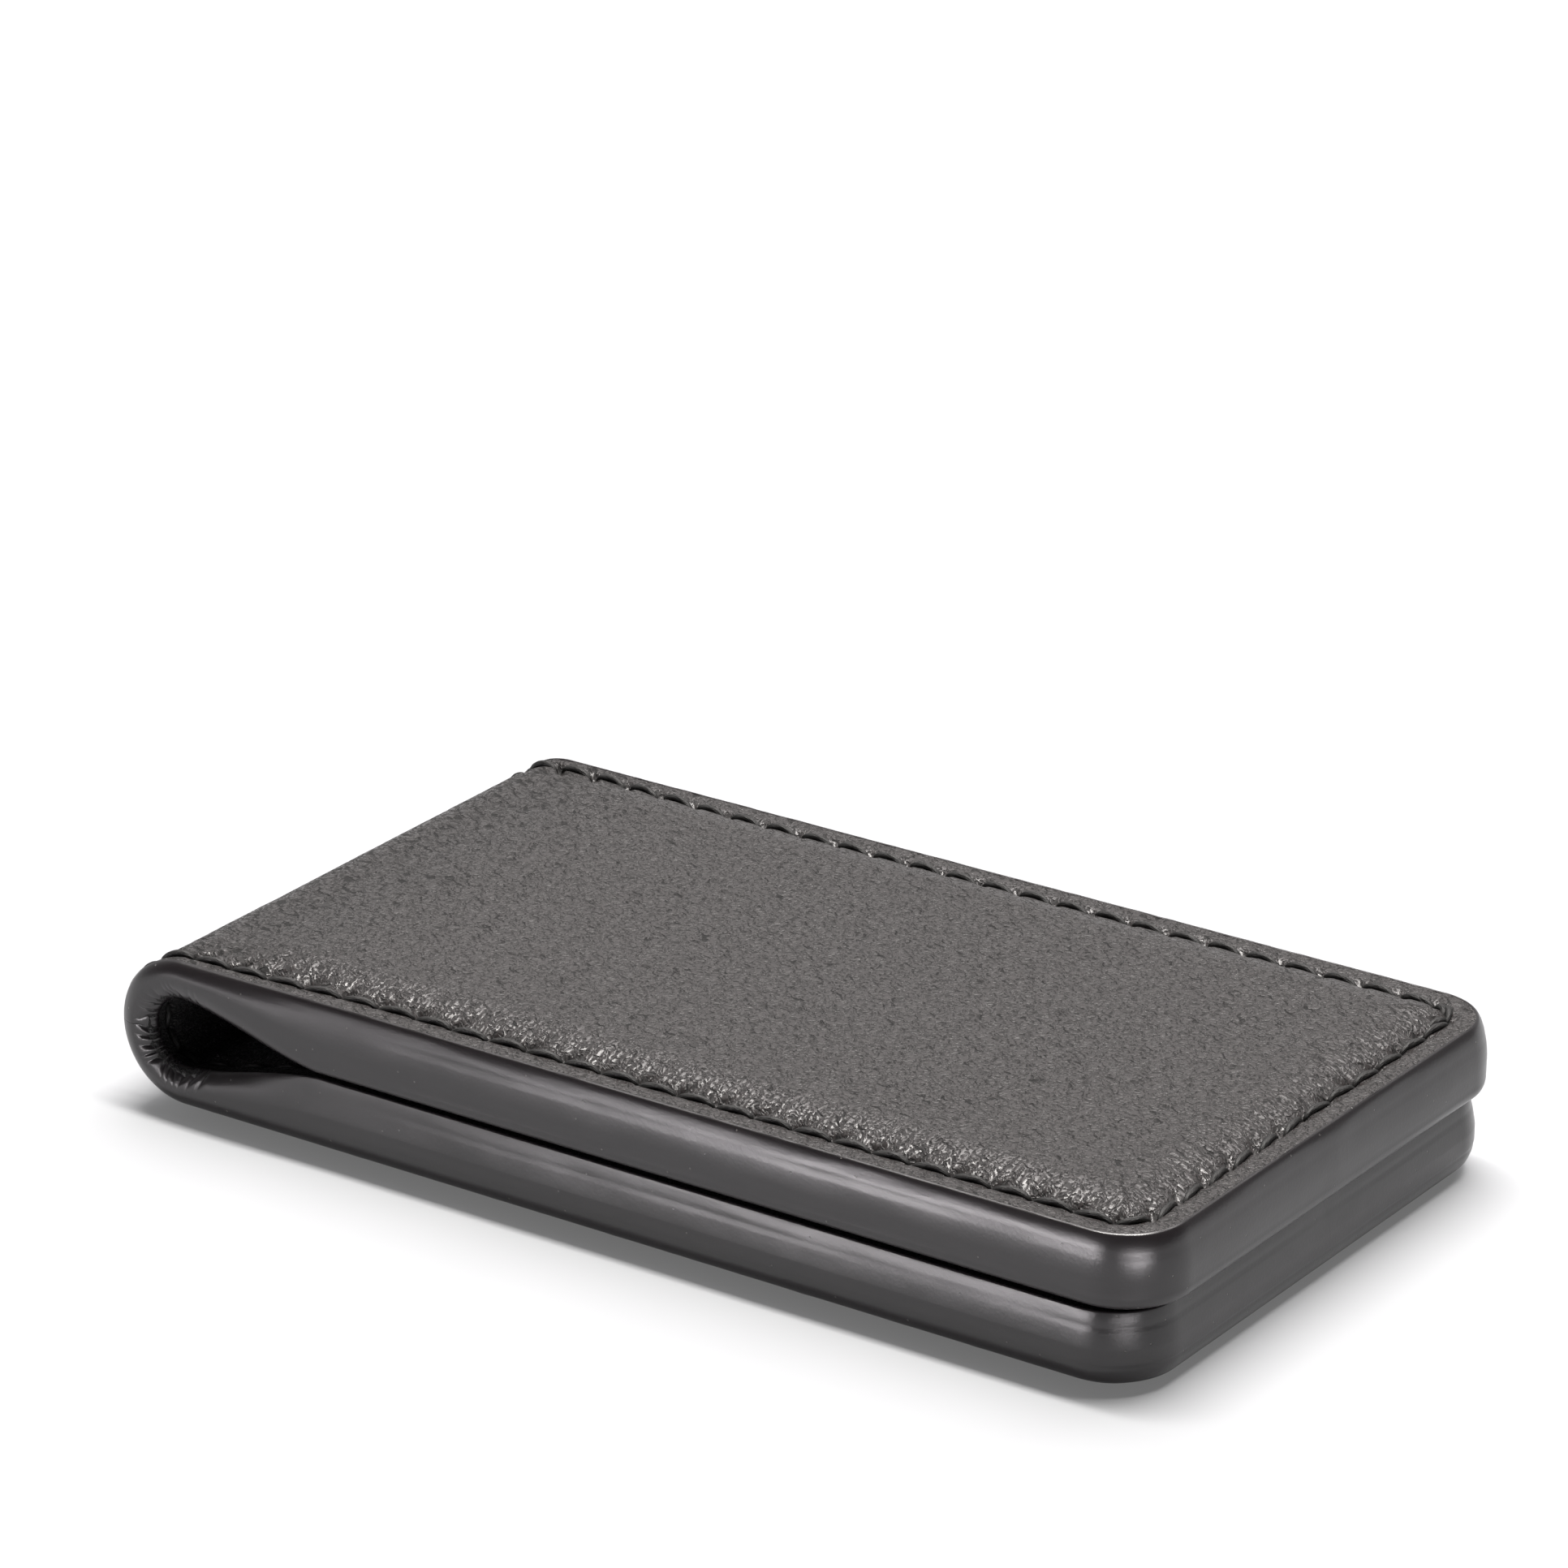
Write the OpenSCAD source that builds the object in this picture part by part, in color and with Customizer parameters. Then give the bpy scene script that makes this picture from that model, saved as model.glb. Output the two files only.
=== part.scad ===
// Magnetic money clip: two padded leather panels joined by a soft leather fold.
// +X runs from the fold to the free end, +Y across the clip, +Z up.
// The origin is under the middle of the clip, on the surface that it lies on.

/* [Overall size] */
// Length of the closed clip, from the outside of the fold to the free end
clip_length = 69.4; // [66:0.1:80]
// Width of the clip over its painted edges
clip_width = 38.3; // [34:0.1:60]
// Radius of the two corners at the free end, seen from above
corner_radius = 4.2; // [3.2:0.1:6]
// How far the upper panel reaches past the lower one at the free end
upper_overhang = 0.6; // [0:0.1:1]

/* [Panels] */
// Thickness of a panel at its sewn margin
panel_thickness = 4.25; // [3.8:0.05:5]
// Gap between the two panels when the clip is closed
panel_gap = 0.3; // [0.2:0.05:0.6]
// How far the padded middle of a panel stands proud of its margin
crown_height = 0.7; // [0.5:0.05:1]
// Distance over which the padding falls away to the margin
crown_slope = 2.6; // [1.5:0.1:4]
// Thickness of the outer leather
outer_leather_thickness = 1.1; // [0.9:0.05:1.2]
// Thickness of the lining leather
lining_thickness = 0.9; // [0.8:0.05:1]
// Depth of the edge paint, measured outward from the leather
edge_coat_depth = 0.35; // [0.2:0.05:0.6]

/* [Fold] */
// Thickness of the leather sandwich in the fold
fold_thickness = 2.3; // [2.2:0.05:2.6]
// Length over which a panel is skived down to the fold
skive_length = 9.7; // [7:0.1:12]

/* [Magnets] */
// Diameter of one magnet disc
magnet_diameter = 12; // [8:0.5:14]
// Thickness of one magnet disc
magnet_thickness = 1.8; // [1:0.1:1.8]
// Distance of the magnets' centres from the free end
magnet_setback = 13; // [11:0.5:20]
// Distance between the centres of the two magnets in a panel
magnet_spacing = 17; // [15:0.5:18]
// Clearance between a magnet and its pocket
magnet_clearance = 0.1; // [0.05:0.05:0.2]

/* [Stitching] */
// Wanted distance from one needle hole to the next
stitch_pitch = 2.57; // [2.4:0.01:3.2]
// Part of each pitch that the visible thread covers
stitch_cover = 0.76; // [0.6:0.01:0.78]
// Diameter of the sewing thread
thread_diameter = 0.45; // [0.3:0.05:0.45]
// Distance of the seam from the outside of the painted edge
stitch_inset = 2.0; // [1.8:0.1:2.1]
// Width of the groove that the thread sinks into
groove_width = 1.3; // [1.3:0.05:1.5]
// Depth of the groove in the outer leather
groove_depth = 0.3; // [0.25:0.05:0.35]
// Depth of the groove in the lining
lining_groove_depth = 0.6; // [0.6:0.01:0.65]

/* [Hidden] */
$fn = 64;

// Heights in the lower panel, from the surface that the clip lies on
margin_h = crown_height;
leather_h = margin_h + outer_leather_thickness;
inner_h = margin_h + panel_thickness;
board_h = inner_h - lining_thickness;
middle_z = inner_h + panel_gap / 2;

// The fold is half a tube whose outside meets the outer faces of both margins
fold_outer_r = middle_z - margin_h;
fold_inner_r = fold_outer_r - fold_thickness;
fold_leather_r = fold_outer_r - outer_leather_thickness;
fold_lining_r = fold_inner_r + lining_thickness;
fold_x = fold_outer_r - clip_length / 2;
skive_x = fold_x + skive_length;
fold_inner_h = margin_h + fold_thickness;

upper_end = clip_length / 2;
lower_end = upper_end - upper_overhang;

// Where the padding starts beside the seam, and how the pad is set in under the leather
crown_inset = stitch_inset + groove_width / 2;
pad_inset = crown_inset + 0.15;
pad_clearance = 0.02;
// Far enough past the leather for a cut to come out cleanly
past = 1;
// The thread in the lining lies just below the leather's surface
thread_sink = 0.02;
thread_r = thread_diameter / 2;
// Depth that a straight stitch loses to the curve on the outside of the fold
fold_sag = 0.22;
fold_groove_depth = groove_depth + fold_sag;
fold_stitches = 5;

leather_colour = [0.16, 0.155, 0.15];
lining_colour = [0.12, 0.115, 0.11];
paint_colour = [0.09, 0.09, 0.095];
thread_colour = [0.05, 0.05, 0.055];
foam_colour = [0.55, 0.55, 0.52];
board_colour = [0.42, 0.30, 0.20];
magnet_colour = [0.75, 0.75, 0.77];
tape_colour = [0.25, 0.25, 0.25];

// Plan of one panel, open towards the fold, set in from the painted edge
module panel_plan(end_x, inset) {
    r = corner_radius - inset;
    half = clip_width / 2 - inset;
    translate([fold_x, -half])
        square([end_x - corner_radius - fold_x, 2 * half]);
    translate([fold_x, r - half])
        square([end_x - inset - fold_x, 2 * (half - r)]);
    for (side = [-1, 1])
        translate([end_x - corner_radius, side * (half - r)])
            circle(r = r);
}

// Solid between two insets of the plan and two heights
module plan_band(end_x, outer_inset, inner_inset, low, high) {
    translate([0, 0, low])
        linear_extrude(high - low)
            difference() {
                panel_plan(end_x, outer_inset);
                translate([-past, 0])
                    panel_plan(end_x + past, inner_inset);
            }
}

// Solid of a side profile, drawn in X and height, across the whole clip
module across(points) {
    translate([0, clip_width, 0])
        rotate([90, 0, 0])
            linear_extrude(2 * clip_width)
                polygon(points);
}

// Solid of an end profile, drawn in Y and height, along one panel
module along(points, end_x) {
    translate([fold_x, 0, 0])
        rotate([90, 0, 90])
            linear_extrude(end_x - fold_x)
                polygon(points);
}

// The padded rise of a panel, from height high down to low, sloping on all four sides
module crown_form(end_x, inset, low, high) {
    x0 = fold_x + inset - stitch_inset;
    x1 = end_x - inset;
    y1 = clip_width / 2 - inset;
    intersection() {
        across([[x0, high], [x0 + crown_slope, low], [x1 - crown_slope, low], [x1, high]]);
        along([[-y1, high], [crown_slope - y1, low], [y1 - crown_slope, low], [y1, high]], end_x);
        translate([0, 0, low])
            linear_extrude(high - low)
                panel_plan(end_x, inset);
    }
}

// Height of the inner face of the lower panel above a place in X
function inner_face(x) =
    x < skive_x
    ? fold_inner_h + (inner_h - fold_inner_h) * (x - fold_x) / skive_length
    : inner_h;

module outer_leather(end_x) {
    difference() {
        union() {
            translate([0, 0, margin_h])
                linear_extrude(outer_leather_thickness)
                    panel_plan(end_x, edge_coat_depth);
            crown_form(end_x, crown_inset, 0, margin_h);
        }
        plan_band(end_x, stitch_inset - groove_width / 2, stitch_inset + groove_width / 2,
                  margin_h - past, margin_h + groove_depth);
        crown_form(end_x, pad_inset, outer_leather_thickness, leather_h);
    }
}

module foam_pad(end_x) {
    crown_form(end_x, pad_inset + pad_clearance, outer_leather_thickness + pad_clearance, leather_h);
}

// The board is skived to a thin lip where it meets the fold's reinforcement
module stiffener_board(end_x) {
    pocket_depth = magnet_thickness + 2 * pad_clearance;
    difference() {
        intersection() {
            across([[fold_x, leather_h], [end_x, leather_h], [end_x, board_h],
                    [skive_x, board_h], [fold_x, fold_inner_h - lining_thickness]]);
            linear_extrude(board_h)
                panel_plan(end_x, edge_coat_depth);
        }
        for (side = [-1, 1])
            translate([end_x - magnet_setback, side * magnet_spacing / 2, board_h - pocket_depth])
                cylinder(h = pocket_depth + past, d = magnet_diameter + 2 * magnet_clearance);
    }
}

module magnets(end_x) {
    for (side = [-1, 1])
        translate([end_x - magnet_setback, side * magnet_spacing / 2,
                   board_h - pad_clearance - magnet_thickness])
            cylinder(h = magnet_thickness, d = magnet_diameter);
}

module lining(end_x) {
    difference() {
        intersection() {
            across([[fold_x, fold_inner_h - lining_thickness], [skive_x, board_h], [end_x, board_h],
                    [end_x, inner_h], [skive_x, inner_h], [fold_x, fold_inner_h]]);
            linear_extrude(inner_h)
                panel_plan(end_x, edge_coat_depth);
        }
        intersection() {
            across([[fold_x, fold_inner_h - lining_groove_depth], [skive_x, inner_h - lining_groove_depth],
                    [end_x, inner_h - lining_groove_depth], [end_x, inner_h + past],
                    [fold_x, inner_h + past]]);
            plan_band(end_x, stitch_inset - groove_width / 2, stitch_inset + groove_width / 2,
                      0, inner_h + past);
        }
    }
}

// Rounded section of an edge: outward distance from the leather, and height
function bulge_section(depth, height, base, steps = 10) =
    [for (k = [0 : steps])
        let (a = -90 + 180 * k / steps)
        [base + depth * cos(a), height / 2 * (1 + sign(sin(a)) * pow(abs(sin(a)), 0.6))]];

// Bulging paint round the two sides and the free end of a panel
module edge_coat(end_x) {
    r = corner_radius - edge_coat_depth;
    half = clip_width / 2 - corner_radius;
    corner_x = end_x - corner_radius;
    intersection() {
        translate([0, 0, margin_h])
            union() {
                translate([corner_x, half, 0])
                    rotate([90, 0, 0])
                        linear_extrude(2 * half)
                            polygon(bulge_section(edge_coat_depth, panel_thickness, r));
                for (side = [-1, 1])
                    scale([1, side, 1])
                        translate([corner_x, half, 0]) {
                            rotate_extrude(angle = 90)
                                polygon(bulge_section(edge_coat_depth, panel_thickness, r));
                            rotate([90, 0, -90])
                                mirror([1, 0, 0])
                                    linear_extrude(corner_x - fold_x)
                                        polygon(bulge_section(edge_coat_depth, panel_thickness, r));
                        }
            }
        across([[fold_x, 0], [end_x + past, 0], [end_x + past, inner_h], [skive_x, inner_h],
                [fold_x, fold_inner_h]]);
    }
}

// One straight stitch between two needle holes, shortened so that it covers part of the pitch
module stitch(from, to, cover) {
    way = to - from;
    span = norm(way);
    start = from + way * (1 - cover) / 2;
    translate(start)
        rotate([0, acos(way.z / span), atan2(way.y, way.x)])
            cylinder(h = span * cover, d = thread_diameter, $fn = 16);
}

// The seam of a panel starts at the middle of the free end and runs both ways to the fold
seam_r = corner_radius - stitch_inset;
seam_half_end = clip_width / 2 - corner_radius;
seam_corner = seam_r * PI / 2;
function seam_length(end_x) = seam_half_end + seam_corner + end_x - corner_radius - fold_x;
function seam_count(end_x) = round(seam_length(end_x) / stitch_pitch);
function seam_point(end_x, s) =
    s < seam_half_end
    ? [end_x - stitch_inset, s]
    : s < seam_half_end + seam_corner
    ? let (a = (s - seam_half_end) / seam_r * 180 / PI)
      [end_x - corner_radius + seam_r * cos(a), seam_half_end + seam_r * sin(a)]
    : [end_x - corner_radius - (s - seam_half_end - seam_corner), clip_width / 2 - stitch_inset];
// Needle hole number k of a panel, on the side of the clip that side names
function seam_hole(end_x, k, side) =
    let (p = seam_point(end_x, seam_length(end_x) * k / seam_count(end_x)))
    [p.x, side * p.y];

module needle_thread(end_x) {
    z = margin_h + groove_depth - thread_r;
    for (side = [-1, 1])
        for (k = [0 : seam_count(end_x) - 1])
            let (a = seam_hole(end_x, k, side), b = seam_hole(end_x, k + 1, side))
                stitch([a.x, a.y, z], [b.x, b.y, z], stitch_cover);
}

module bobbin_thread(end_x) {
    sink = thread_r + thread_sink;
    for (side = [-1, 1])
        for (k = [0 : seam_count(end_x) - 1])
            let (a = seam_hole(end_x, k, side), b = seam_hole(end_x, k + 1, side))
                stitch([a.x, a.y, inner_face(a.x) - sink], [b.x, b.y, inner_face(b.x) - sink], stitch_cover);
}

// Half tube of the fold between two radii, over a stretch of the width
module fold_shell(outer_r, inner_r, y0, y1) {
    translate([fold_x, y1, middle_z])
        rotate([90, 0, 0])
            linear_extrude(y1 - y0)
                difference() {
                    circle(r = outer_r);
                    circle(r = inner_r);
                    translate([0, -2 * outer_r])
                        square(4 * outer_r);
                }
}

// The two grooves that the thread sinks into along the edges of the fold
module fold_grooves(outer_r, inner_r) {
    y = clip_width / 2 - stitch_inset;
    for (side = [-1, 1])
        fold_shell(outer_r, inner_r, side * y - groove_width / 2, side * y + groove_width / 2);
}

fold_half_width = clip_width / 2 - edge_coat_depth;

module fold_outer_leather() {
    color(leather_colour)
        difference() {
            fold_shell(fold_outer_r, fold_leather_r, -fold_half_width, fold_half_width);
            fold_grooves(fold_outer_r + past, fold_outer_r - fold_groove_depth);
        }
}

module fold_reinforcement() {
    color(tape_colour)
        fold_shell(fold_leather_r, fold_lining_r, -fold_half_width, fold_half_width);
}

module fold_lining() {
    color(lining_colour)
        difference() {
            fold_shell(fold_lining_r, fold_inner_r, -fold_half_width, fold_half_width);
            fold_grooves(fold_inner_r + lining_groove_depth + thread_sink, fold_inner_r - past);
        }
}

// Bulging paint on one edge of the fold; the section turns half way round the fold's centre
module fold_edge_coat(side) {
    color(paint_colour)
        translate([fold_x, side * fold_half_width, middle_z])
            rotate([side * -90, 0, 0])
                rotate([0, 0, 90])
                    rotate_extrude(angle = 180)
                        translate([fold_inner_r, 0])
                            mirror([1, -1])
                                polygon(bulge_section(edge_coat_depth, fold_thickness, 0));
}

// Stitches round the fold, on a circle of the given radius about the fold's centre
module fold_thread(r) {
    step = 180 / fold_stitches;
    for (side = [-1, 1])
        for (k = [0 : fold_stitches - 1])
            let (y = side * (clip_width / 2 - stitch_inset), a = 90 + k * step, b = a + step)
                stitch([fold_x + r * cos(a), y, middle_z + r * sin(a)],
                       [fold_x + r * cos(b), y, middle_z + r * sin(b)], stitch_cover);
}

module fold_needle_thread() {
    color(thread_colour)
        fold_thread(fold_outer_r - groove_depth + thread_r);
}

module fold_bobbin_thread() {
    color(thread_colour)
        fold_thread(fold_inner_r + lining_groove_depth - thread_r);
}

// Turns a lower panel's piece over to make the upper panel's
module turned_over() {
    translate([0, 0, 2 * middle_z])
        mirror([0, 0, 1])
            children();
}

module lower_outer_leather() { color(leather_colour) outer_leather(lower_end); }
module lower_foam_pad() { color(foam_colour) foam_pad(lower_end); }
module lower_stiffener_board() { color(board_colour) stiffener_board(lower_end); }
module lower_magnets() { color(magnet_colour) magnets(lower_end); }
module lower_lining() { color(lining_colour) lining(lower_end); }
module lower_edge_coat() { color(paint_colour) edge_coat(lower_end); }
module lower_needle_thread() { color(thread_colour) needle_thread(lower_end); }
module lower_bobbin_thread() { color(thread_colour) bobbin_thread(lower_end); }

module upper_outer_leather() { color(leather_colour) turned_over() outer_leather(upper_end); }
module upper_foam_pad() { color(foam_colour) turned_over() foam_pad(upper_end); }
module upper_stiffener_board() { color(board_colour) turned_over() stiffener_board(upper_end); }
module upper_magnets() { color(magnet_colour) turned_over() magnets(upper_end); }
module upper_lining() { color(lining_colour) turned_over() lining(upper_end); }
module upper_edge_coat() { color(paint_colour) turned_over() edge_coat(upper_end); }
module upper_needle_thread() { color(thread_colour) turned_over() needle_thread(upper_end); }
module upper_bobbin_thread() { color(thread_colour) turned_over() bobbin_thread(upper_end); }

lower_outer_leather();
lower_foam_pad();
lower_stiffener_board();
lower_magnets();
lower_lining();
lower_edge_coat();
lower_needle_thread();
lower_bobbin_thread();
fold_outer_leather();
fold_reinforcement();
fold_lining();
fold_edge_coat(-1);  // fold_edge_coat_front
fold_edge_coat(1);  // fold_edge_coat_rear
fold_needle_thread();
fold_bobbin_thread();
upper_outer_leather();
upper_foam_pad();
upper_stiffener_board();
upper_magnets();
upper_lining();
upper_edge_coat();
upper_needle_thread();
upper_bobbin_thread();
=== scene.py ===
import math

import bpy
import numpy as np
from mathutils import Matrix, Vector


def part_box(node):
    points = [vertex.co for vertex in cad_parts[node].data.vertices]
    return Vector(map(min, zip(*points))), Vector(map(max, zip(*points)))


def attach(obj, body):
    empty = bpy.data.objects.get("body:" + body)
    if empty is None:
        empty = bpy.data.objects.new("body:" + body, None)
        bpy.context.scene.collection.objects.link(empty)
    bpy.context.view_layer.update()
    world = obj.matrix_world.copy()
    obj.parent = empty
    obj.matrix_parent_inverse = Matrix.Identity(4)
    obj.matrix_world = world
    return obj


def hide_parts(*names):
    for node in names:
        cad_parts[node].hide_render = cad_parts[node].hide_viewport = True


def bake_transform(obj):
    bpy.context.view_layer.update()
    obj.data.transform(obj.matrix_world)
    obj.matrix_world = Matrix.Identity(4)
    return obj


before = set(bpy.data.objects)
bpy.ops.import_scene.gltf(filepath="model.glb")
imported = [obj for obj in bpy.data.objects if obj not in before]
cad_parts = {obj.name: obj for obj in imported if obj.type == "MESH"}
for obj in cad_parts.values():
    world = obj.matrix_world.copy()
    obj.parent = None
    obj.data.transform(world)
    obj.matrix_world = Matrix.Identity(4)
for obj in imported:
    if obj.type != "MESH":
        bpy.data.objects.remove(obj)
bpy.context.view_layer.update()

# Lengths below are millimetres; meshes are written in metres.
MM = 0.001


def cad_box_mm(node):
    low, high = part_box(node)
    return np.array(low) / MM, np.array(high) / MM


# Places taken from the CAD model
fold_low, fold_high = cad_box_mm("fold_outer_leather")
FOLD_X = fold_high[0]
MIDDLE_Z = (fold_low[2] + fold_high[2]) / 2
FOLD_R = (fold_high[2] - fold_low[2]) / 2
MIDFOLD_X = FOLD_X - FOLD_R * math.pi / 2
EDGE_HIGH = {half: cad_box_mm(half + "_edge_coat")[1] for half in ("lower", "upper")}
HALF_WIDTH = EDGE_HIGH["lower"][1]
PANEL_T = EDGE_HIGH["lower"][2] - (MIDDLE_Z - FOLD_R)
CROWN_H = MIDDLE_Z - FOLD_R - cad_box_mm("lower_outer_leather")[0][2]
TAPE_X = cad_box_mm("fold_reinforcement")[0][0]
TAPE_DEPTH = FOLD_R - (FOLD_X - TAPE_X)

# Sizes of the construction that the boxes don't give
CORNER_R = 4.2
PAINT_DEPTH = 0.35
LEATHER_T = 1.1
LINING_T = 0.9
FOLD_T = 2.3
# The skive is part straight wedge and part curve; this is the wedge's share
SKIVE_LENGTH = 9.7
SKIVE_EVENNESS = 0.55
SEAM_INSET = 2.0
SEAM_PITCH = 2.57
FOLD_STITCHES = 5
TAPE_T = 0.3

SEAM_R = CORNER_R - SEAM_INSET
SEAM_END_HALF = HALF_WIDTH - CORNER_R
SEAM_CORNER = SEAM_R * math.pi / 2
FOLD_PITCH = FOLD_R * math.pi / FOLD_STITCHES

COARSE = 1
# The hidden face of a skin has every STRIDE-th line of the visible one
STRIDE = 4
THIN = (slice(None, None, STRIDE), slice(None, None, STRIDE))
# Millimetres to one unit of the texture coordinates
UV_UNIT = 100


# ---------------------------------------------------------------- numbers and noise

def smooth(t):
    t = np.clip(t, 0, 1)
    return t * t * (3 - 2 * t)


def bump(t, width):
    return np.exp(-(t / width) ** 2)


def lattice(i, j, seed):
    n = (i * 374761393 + j * 668265263 + seed * 974711) & 0xFFFFFFFF
    n = ((n ^ (n >> 13)) * 1274126177) & 0xFFFFFFFF
    return ((n ^ (n >> 16)) & 0xFFFFFF) / float(0x7FFFFF) - 1


def noise(u, v, seed):
    """Smooth random heights from -1 to 1, with bumps about one unit apart."""
    i = np.floor(u).astype(np.int64)
    j = np.floor(v).astype(np.int64)
    a = smooth(u - i)
    b = smooth(v - j)
    low = lattice(i, j, seed) * (1 - a) + lattice(i + 1, j, seed) * a
    high = lattice(i, j + 1, seed) * (1 - a) + lattice(i + 1, j + 1, seed) * a
    return low * (1 - b) + high * b


def layered_noise(u, v, seed):
    """Noise with bumps of half the size and height added to it."""
    return noise(u, v, seed) + noise(u * 2, v * 2, seed + 1) / 2


# ---------------------------------------------------------------- places on the clip

def end_of(half):
    return EDGE_HIGH[half][0]


def seam_length(half):
    return SEAM_END_HALF + SEAM_CORNER + end_of(half) - CORNER_R - FOLD_X


def seam_holes(half):
    """Distances of the needle holes along the seam, from the middle of the free end past mid-fold."""
    length = seam_length(half)
    count = round(length / SEAM_PITCH)
    panel = np.arange(count + 1) * length / count
    return np.concatenate([panel, length + FOLD_PITCH * np.arange(1, FOLD_STITCHES // 2 + 2)])


def thickness(x):
    """Thickness of the layers together, thinner towards the fold."""
    share = np.clip((x - FOLD_X) / SKIVE_LENGTH, 0, 1)
    share = SKIVE_EVENNESS * share + (1 - SKIVE_EVENNESS) * smooth(share)
    return FOLD_T + (PANEL_T - FOLD_T) * share


def place(half, x, y, depth):
    """Points of a half at a distance x along its unrolled outer face, and a depth below that face."""
    turn = np.maximum(FOLD_X - x, 0) / FOLD_R
    radius = FOLD_R - depth
    px = np.maximum(x, FOLD_X) - radius * np.sin(turn)
    pz = radius * np.cos(turn) * (-1 if half == "lower" else 1) + MIDDLE_Z
    return np.stack(np.broadcast_arrays(px, y, pz), axis=-1)


def round_corners(half, x, y):
    """Bends a straight grid into the rounded corners at the free end.
    Gives the new x and y, the inset from the painted edge, and the distance along the seam."""
    end = end_of(half)
    from_end = end - x
    from_side = HALF_WIDTH - np.abs(y)
    inset = np.minimum(from_end, from_side)
    ring_r = np.maximum(CORNER_R - inset, 1e-9)
    near_end = from_end <= from_side
    eighth = math.pi / 4
    angle = np.where(near_end, eighth * (CORNER_R - from_side) / ring_r,
                     2 * eighth - eighth * (CORNER_R - from_end) / ring_r)
    corner = (from_end < CORNER_R) & (from_side < CORNER_R)
    round_x = end - CORNER_R + ring_r * np.cos(angle)
    round_y = np.sign(y) * (SEAM_END_HALF + ring_r * np.sin(angle))
    along = np.where(near_end, np.abs(y), SEAM_END_HALF + SEAM_CORNER + from_end - CORNER_R)
    along = np.where(corner, SEAM_END_HALF + SEAM_R * angle, along)
    return np.where(corner, round_x, x), np.where(corner, round_y, y), inset, along


def seam_place(half, s, side, inset):
    """x and y of the seam, moved to another inset, at a distance s from the middle of the free end."""
    end = end_of(half)
    r = CORNER_R - inset
    angle = np.clip((s - SEAM_END_HALF) / SEAM_R, 0, math.pi / 2)
    x = end - CORNER_R + r * np.cos(angle) - np.maximum(s - SEAM_END_HALF - SEAM_CORNER, 0)
    y = np.minimum(s, SEAM_END_HALF) + r * np.sin(angle)
    return x, side * y


def sheet_u(half, x):
    """Distance along the whole cover, unrolled from one free end to the other."""
    return x if half == "lower" else 2 * MIDFOLD_X - x


# ---------------------------------------------------------------- meshes

def make_mesh(name, points, faces, smooth_faces, uvs):
    mesh = bpy.data.meshes.new(name)
    mesh.from_pydata((np.asarray(points) * MM).tolist(), [], faces)
    flags = np.zeros(len(faces), bool)
    flags[:smooth_faces] = True
    mesh.polygons.foreach_set("use_smooth", flags)
    corners = np.zeros(len(mesh.loops), np.int32)
    mesh.loops.foreach_get("vertex_index", corners)
    for uv_name, uv in uvs.items():
        layer = mesh.uv_layers.new(name=uv_name)
        layer.data.foreach_set("uv", uv[corners].astype(np.float32).ravel())
    mesh.update()
    piece = bpy.data.objects.new(name, mesh)
    bpy.context.scene.collection.objects.link(piece)
    return piece


def grid_solid(name, front, back, face_up, uvs):
    """Closed solid between a fine visible face and a hidden one that has every STRIDE-th line."""
    nx, ny = front.shape[:2]
    mx, my = back.shape[:2]
    f = np.arange(nx * ny).reshape(nx, ny)
    b = nx * ny + np.arange(mx * my).reshape(mx, my)
    fine = np.stack([f[:-1, :-1], f[1:, :-1], f[1:, 1:], f[:-1, 1:]], axis=-1).reshape(-1, 4)
    coarse = np.stack([b[:-1, :-1], b[:-1, 1:], b[1:, 1:], b[1:, :-1]], axis=-1).reshape(-1, 4)
    walls = []
    for k in range(mx - 1):
        run = slice(k * STRIDE, (k + 1) * STRIDE + 1)
        walls.append([b[k, 0], b[k + 1, 0], *f[run, 0][::-1]])
        walls.append([*f[run, -1], b[k + 1, -1], b[k, -1]])
    for k in range(my - 1):
        run = slice(k * STRIDE, (k + 1) * STRIDE + 1)
        walls.append([*f[0, run], b[0, k + 1], b[0, k]])
        walls.append([b[-1, k], b[-1, k + 1], *f[-1, run][::-1]])
    faces = fine.tolist() + coarse.tolist() + [[int(v) for v in wall] for wall in walls]
    if not face_up:
        faces = [face[::-1] for face in faces]
    points = np.concatenate([front.reshape(-1, 3), back.reshape(-1, 3)])
    return make_mesh(name, points, faces, len(fine), uvs)


def both_faces(u, v):
    """Texture coordinates of the points of a visible face and then of its hidden one."""
    uv = np.stack([u, v], axis=-1)
    return np.concatenate([uv.reshape(-1, 2), uv[THIN].reshape(-1, 2)])


def skin(name, half, x, y, front_depth, back_depth, face_up, seam=None):
    """Closed solid between two depths of a half; back_depth is given at the hidden face's own points."""
    front = place(half, x, y, front_depth)
    back = place(half, x[THIN], y[THIN], back_depth)
    uvs = {"flat": both_faces(sheet_u(half, x) / UV_UNIT + 1, y / UV_UNIT + 1)}
    if seam:
        along, inset = seam
        uvs["seam"] = both_faces(along / UV_UNIT, inset / UV_UNIT)
    return grid_solid(name, front, back, face_up, uvs)


def spaced(*stretches):
    """Grid lines over a row of (from, to, cells) stretches, in counts that STRIDE divides."""
    parts = []
    for a, b, cells in stretches:
        strides = max(cells // COARSE // STRIDE, 1)
        parts.append(np.linspace(a, b, strides * STRIDE + 1)[:-1])
    return np.concatenate([*parts, [stretches[-1][1]]])


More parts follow.
